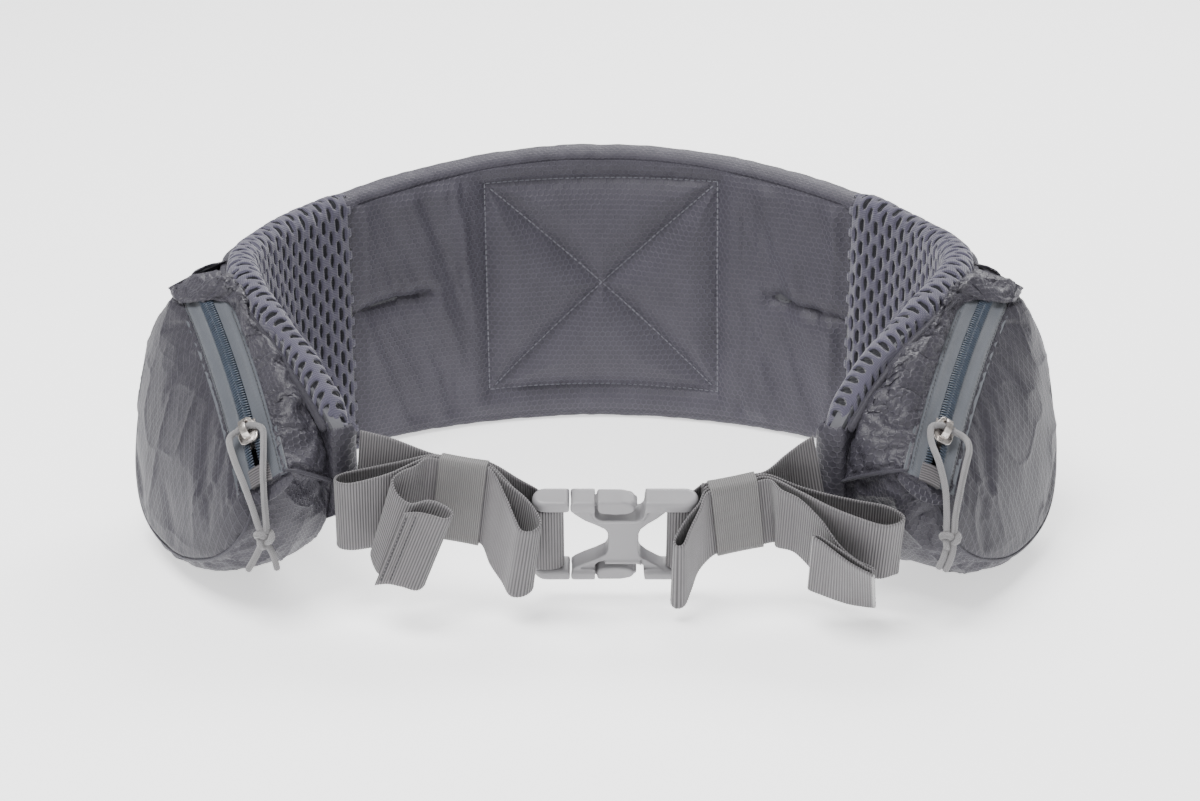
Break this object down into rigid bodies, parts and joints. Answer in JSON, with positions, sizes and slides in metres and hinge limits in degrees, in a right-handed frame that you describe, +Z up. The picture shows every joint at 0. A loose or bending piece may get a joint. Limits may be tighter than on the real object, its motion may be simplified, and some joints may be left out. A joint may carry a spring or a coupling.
{
  "type": "waist pack",
  "caption": "Padded hip belt with two zip side pockets, spacer-mesh wings, adjustable webbing straps with elastic keepers and a side-release buckle.",
  "frame": {"origin": "on the surface that the belt stands on, under the middle of its bounding box", "axes": "+Z up, +X to the right of a viewer facing the buckle, -Y towards the wearer's front (buckle side), back panel at +Y"},
  "size_m": [0.4582, 0.3018, 0.1542],
  "materials": {
    "dark_cloth": "coated ripstop, soft sheen",
    "pale_cloth": "coated ripstop, light sheen",
    "spacer_mesh": "knitted spacer mesh",
    "foam": "closed-cell foam",
    "stiffener_plastic": "sheet plastic",
    "zip_tape": "woven tape",
    "zip_coil": "nylon coil",
    "slider_metal": "nickel plated",
    "cord": "braided cord",
    "webbing": "grosgrain webbing",
    "elastic": "woven elastic",
    "label": "printed tape, plain",
    "buckle_plastic": "moulded, satin"
  },
  "bodies": {
    "root": {"back_face": "dark_cloth", "back_foam": "foam", "lumbar_stiffener": "stiffener_plastic", "back_shell": "dark_cloth", "top_binding": "dark_cloth", "bottom_binding": "dark_cloth", "left_mesh_pad": "spacer_mesh", "left_wing_foam": "foam", "left_wing_shell": "dark_cloth", "right_mesh_pad": "spacer_mesh", "right_wing_foam": "foam", "right_wing_shell": "dark_cloth", "left_top_gusset": "dark_cloth", "left_bottom_gusset": "dark_cloth", "left_main_panel": "pale_cloth", "right_top_gusset": "dark_cloth", "right_bottom_gusset": "dark_cloth", "right_main_panel": "pale_cloth", "left_zip_tapes": "zip_tape", "left_zip_coil": "zip_coil", "left_zip_stop": "webbing", "right_zip_tapes": "zip_tape", "right_zip_coil": "zip_coil", "right_zip_stop": "webbing", "left_strap": "webbing", "care_label": "label", "right_strap": "webbing", "right_strap_tail": "webbing", "buckle_female": "buckle_plastic"},
    "left_slider": {"left_slider": "slider_metal"},
    "right_slider": {"right_slider": "slider_metal"},
    "left_pull": {"left_pull_cord": "cord", "left_cord_knot": "cord"},
    "right_pull": {"right_pull_cord": "cord", "right_cord_knot": "cord"},
    "male": {"buckle_male": "buckle_plastic", "left_strap_tail": "webbing"},
    "arm_top": {"latch_arm_top": "buckle_plastic"},
    "arm_bottom": {"latch_arm_bottom": "buckle_plastic"},
    "left_keeper": {"left_keeper": "elastic"},
    "right_keeper": {"right_keeper": "elastic"}
  },
  "joints": [
    {"name": "left_zip_travel", "type": "hinge", "parent": "root", "child": "left_slider", "pos_m": [-0.38977, 0.05254, -0.29346], "axis": [-0.8236, -0.4755, 0.309], "range_deg": [-1.5, 9.2], "deforming": ["left_zip_coil", "left_pull_cord", "left_cord_knot"]},
    {"name": "right_zip_travel", "type": "hinge", "parent": "root", "child": "right_slider", "pos_m": [0.38977, 0.05254, -0.29346], "axis": [-0.8236, 0.4755, -0.309], "range_deg": [-1.5, 9.2], "deforming": ["right_zip_coil", "right_pull_cord", "right_cord_knot"]},
    {"name": "left_pull_swing", "type": "hinge", "parent": "left_slider", "child": "left_pull", "pos_m": [-0.16014, -0.10586, 0.08968], "axis": [-0.8759, -0.0027, -0.4826], "range_deg": [0, 80]},
    {"name": "right_pull_swing", "type": "hinge", "parent": "right_slider", "child": "right_pull", "pos_m": [0.16014, -0.10586, 0.08968], "axis": [-0.8759, 0.0027, 0.4826], "range_deg": [0, 80]},
    {"name": "buckle_release", "type": "slide", "parent": "root", "child": "male", "axis": [-1, 0, 0], "range_m": [0, 0.032], "deforming": ["left_strap", "left_strap_tail", "latch_arm_top", "latch_arm_bottom"]},
    {"name": "latch_top", "type": "hinge", "parent": "male", "child": "arm_top", "pos_m": [-0.01115, -0.11733, 0.05886], "axis": [0, 0.9272, 0.3746], "range_deg": [0, 6], "stiffness_Nm_per_rad": 0.3},
    {"name": "latch_bottom", "type": "hinge", "parent": "male", "child": "arm_bottom", "pos_m": [-0.01115, -0.10047, 0.01714], "axis": [0, -0.9272, -0.3746], "range_deg": [0, 6], "stiffness_Nm_per_rad": 0.3},
    {"name": "left_keeper_slide", "type": "slide", "parent": "male", "child": "left_keeper", "axis": [-0.9829, 0.1381, 0.1219], "range_m": [0, 0.0045]},
    {"name": "right_keeper_slide", "type": "slide", "parent": "root", "child": "right_keeper", "axis": [0.9781, 0.1375, 0.1564], "range_m": [0, 0.0045]}
  ]
}
